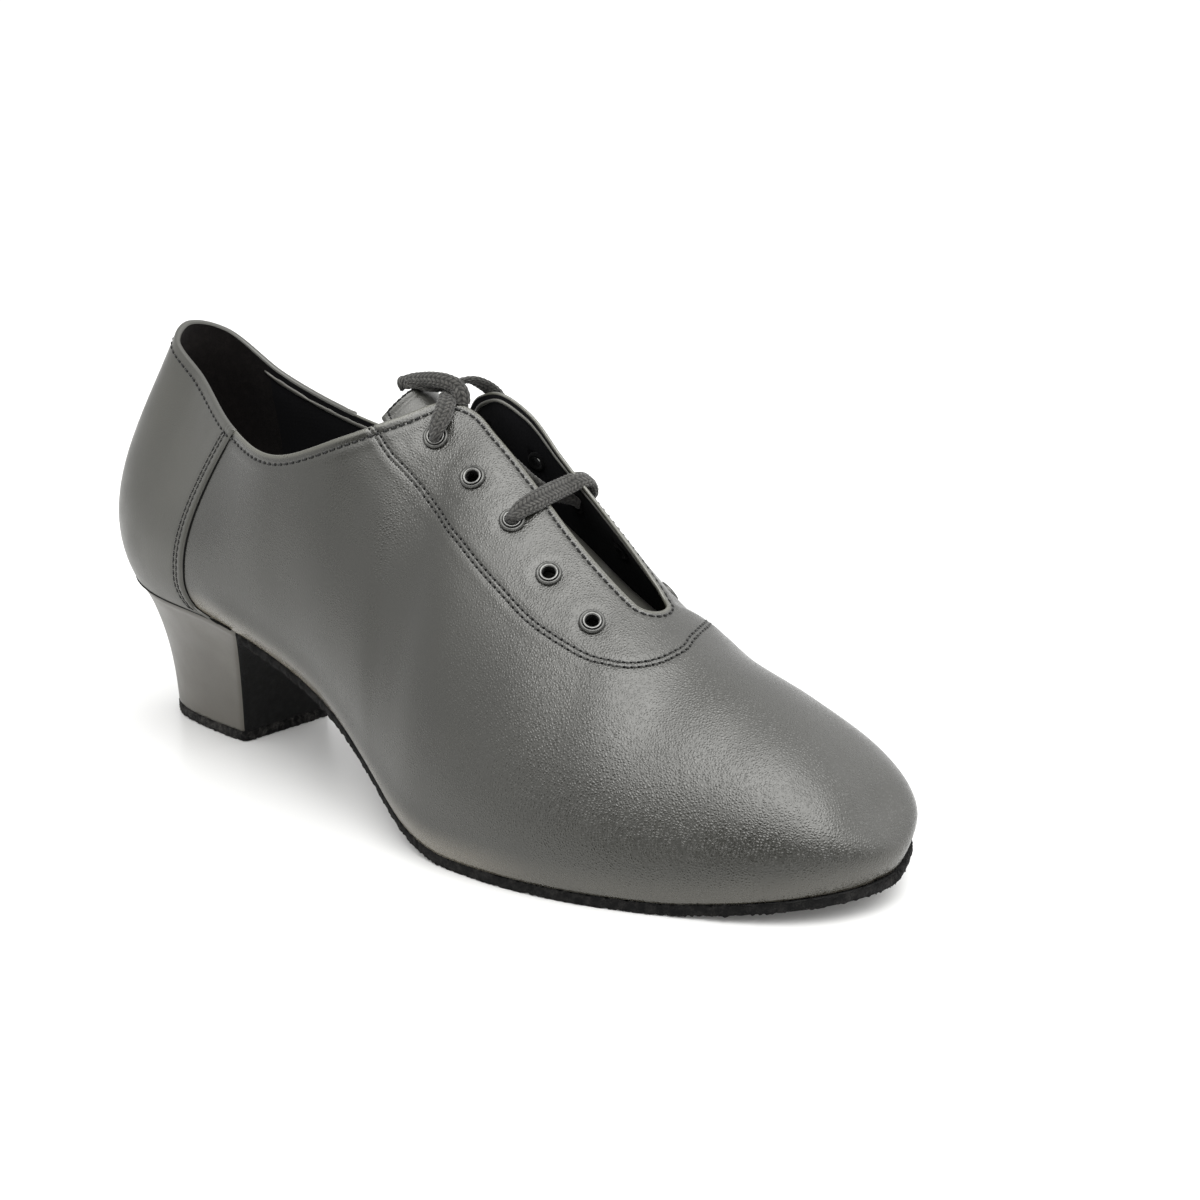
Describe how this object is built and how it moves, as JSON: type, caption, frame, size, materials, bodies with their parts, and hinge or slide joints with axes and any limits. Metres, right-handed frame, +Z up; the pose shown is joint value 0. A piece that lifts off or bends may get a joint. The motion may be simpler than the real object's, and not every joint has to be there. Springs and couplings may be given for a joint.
{
  "type": "lace-up dance shoe",
  "caption": "Low leather lace-up practice dance shoe for the right foot, with an open collar, laced throat slot, tongue, thin suede sole and a flared block heel.",
  "frame": {"origin": "centre of the shoe's plan box, at the floor it stands on", "axes": "+X from heel to toe, +Y to the inner (medial) side, +Z up"},
  "size_m": [0.2457, 0.0856, 0.1147],
  "materials": {
    "leather": "black smooth leather, soft sheen",
    "lining": "black textile lining",
    "suede": "black suede, napped",
    "metal": "black enamelled eyelets",
    "braid": "black braided lace"
  },
  "bodies": {
    "root": {"upper": "leather", "outsole": "suede", "insole": "lining", "heel": "leather", "heel_tip": "suede", "tongue": "leather", "eyelet_lateral_1": "metal", "eyelet_lateral_2": "metal", "eyelet_lateral_3": "metal", "eyelet_lateral_4": "metal", "eyelet_lateral_5": "metal", "eyelet_medial_1": "metal", "eyelet_medial_2": "metal", "eyelet_medial_3": "metal", "eyelet_medial_4": "metal", "eyelet_medial_5": "metal", "lace_bar": "braid", "lace_end_lateral": "braid", "lace_end_medial": "braid", "lace_knot": "braid", "lace_loop": "braid"}
  },
  "joints": []
}
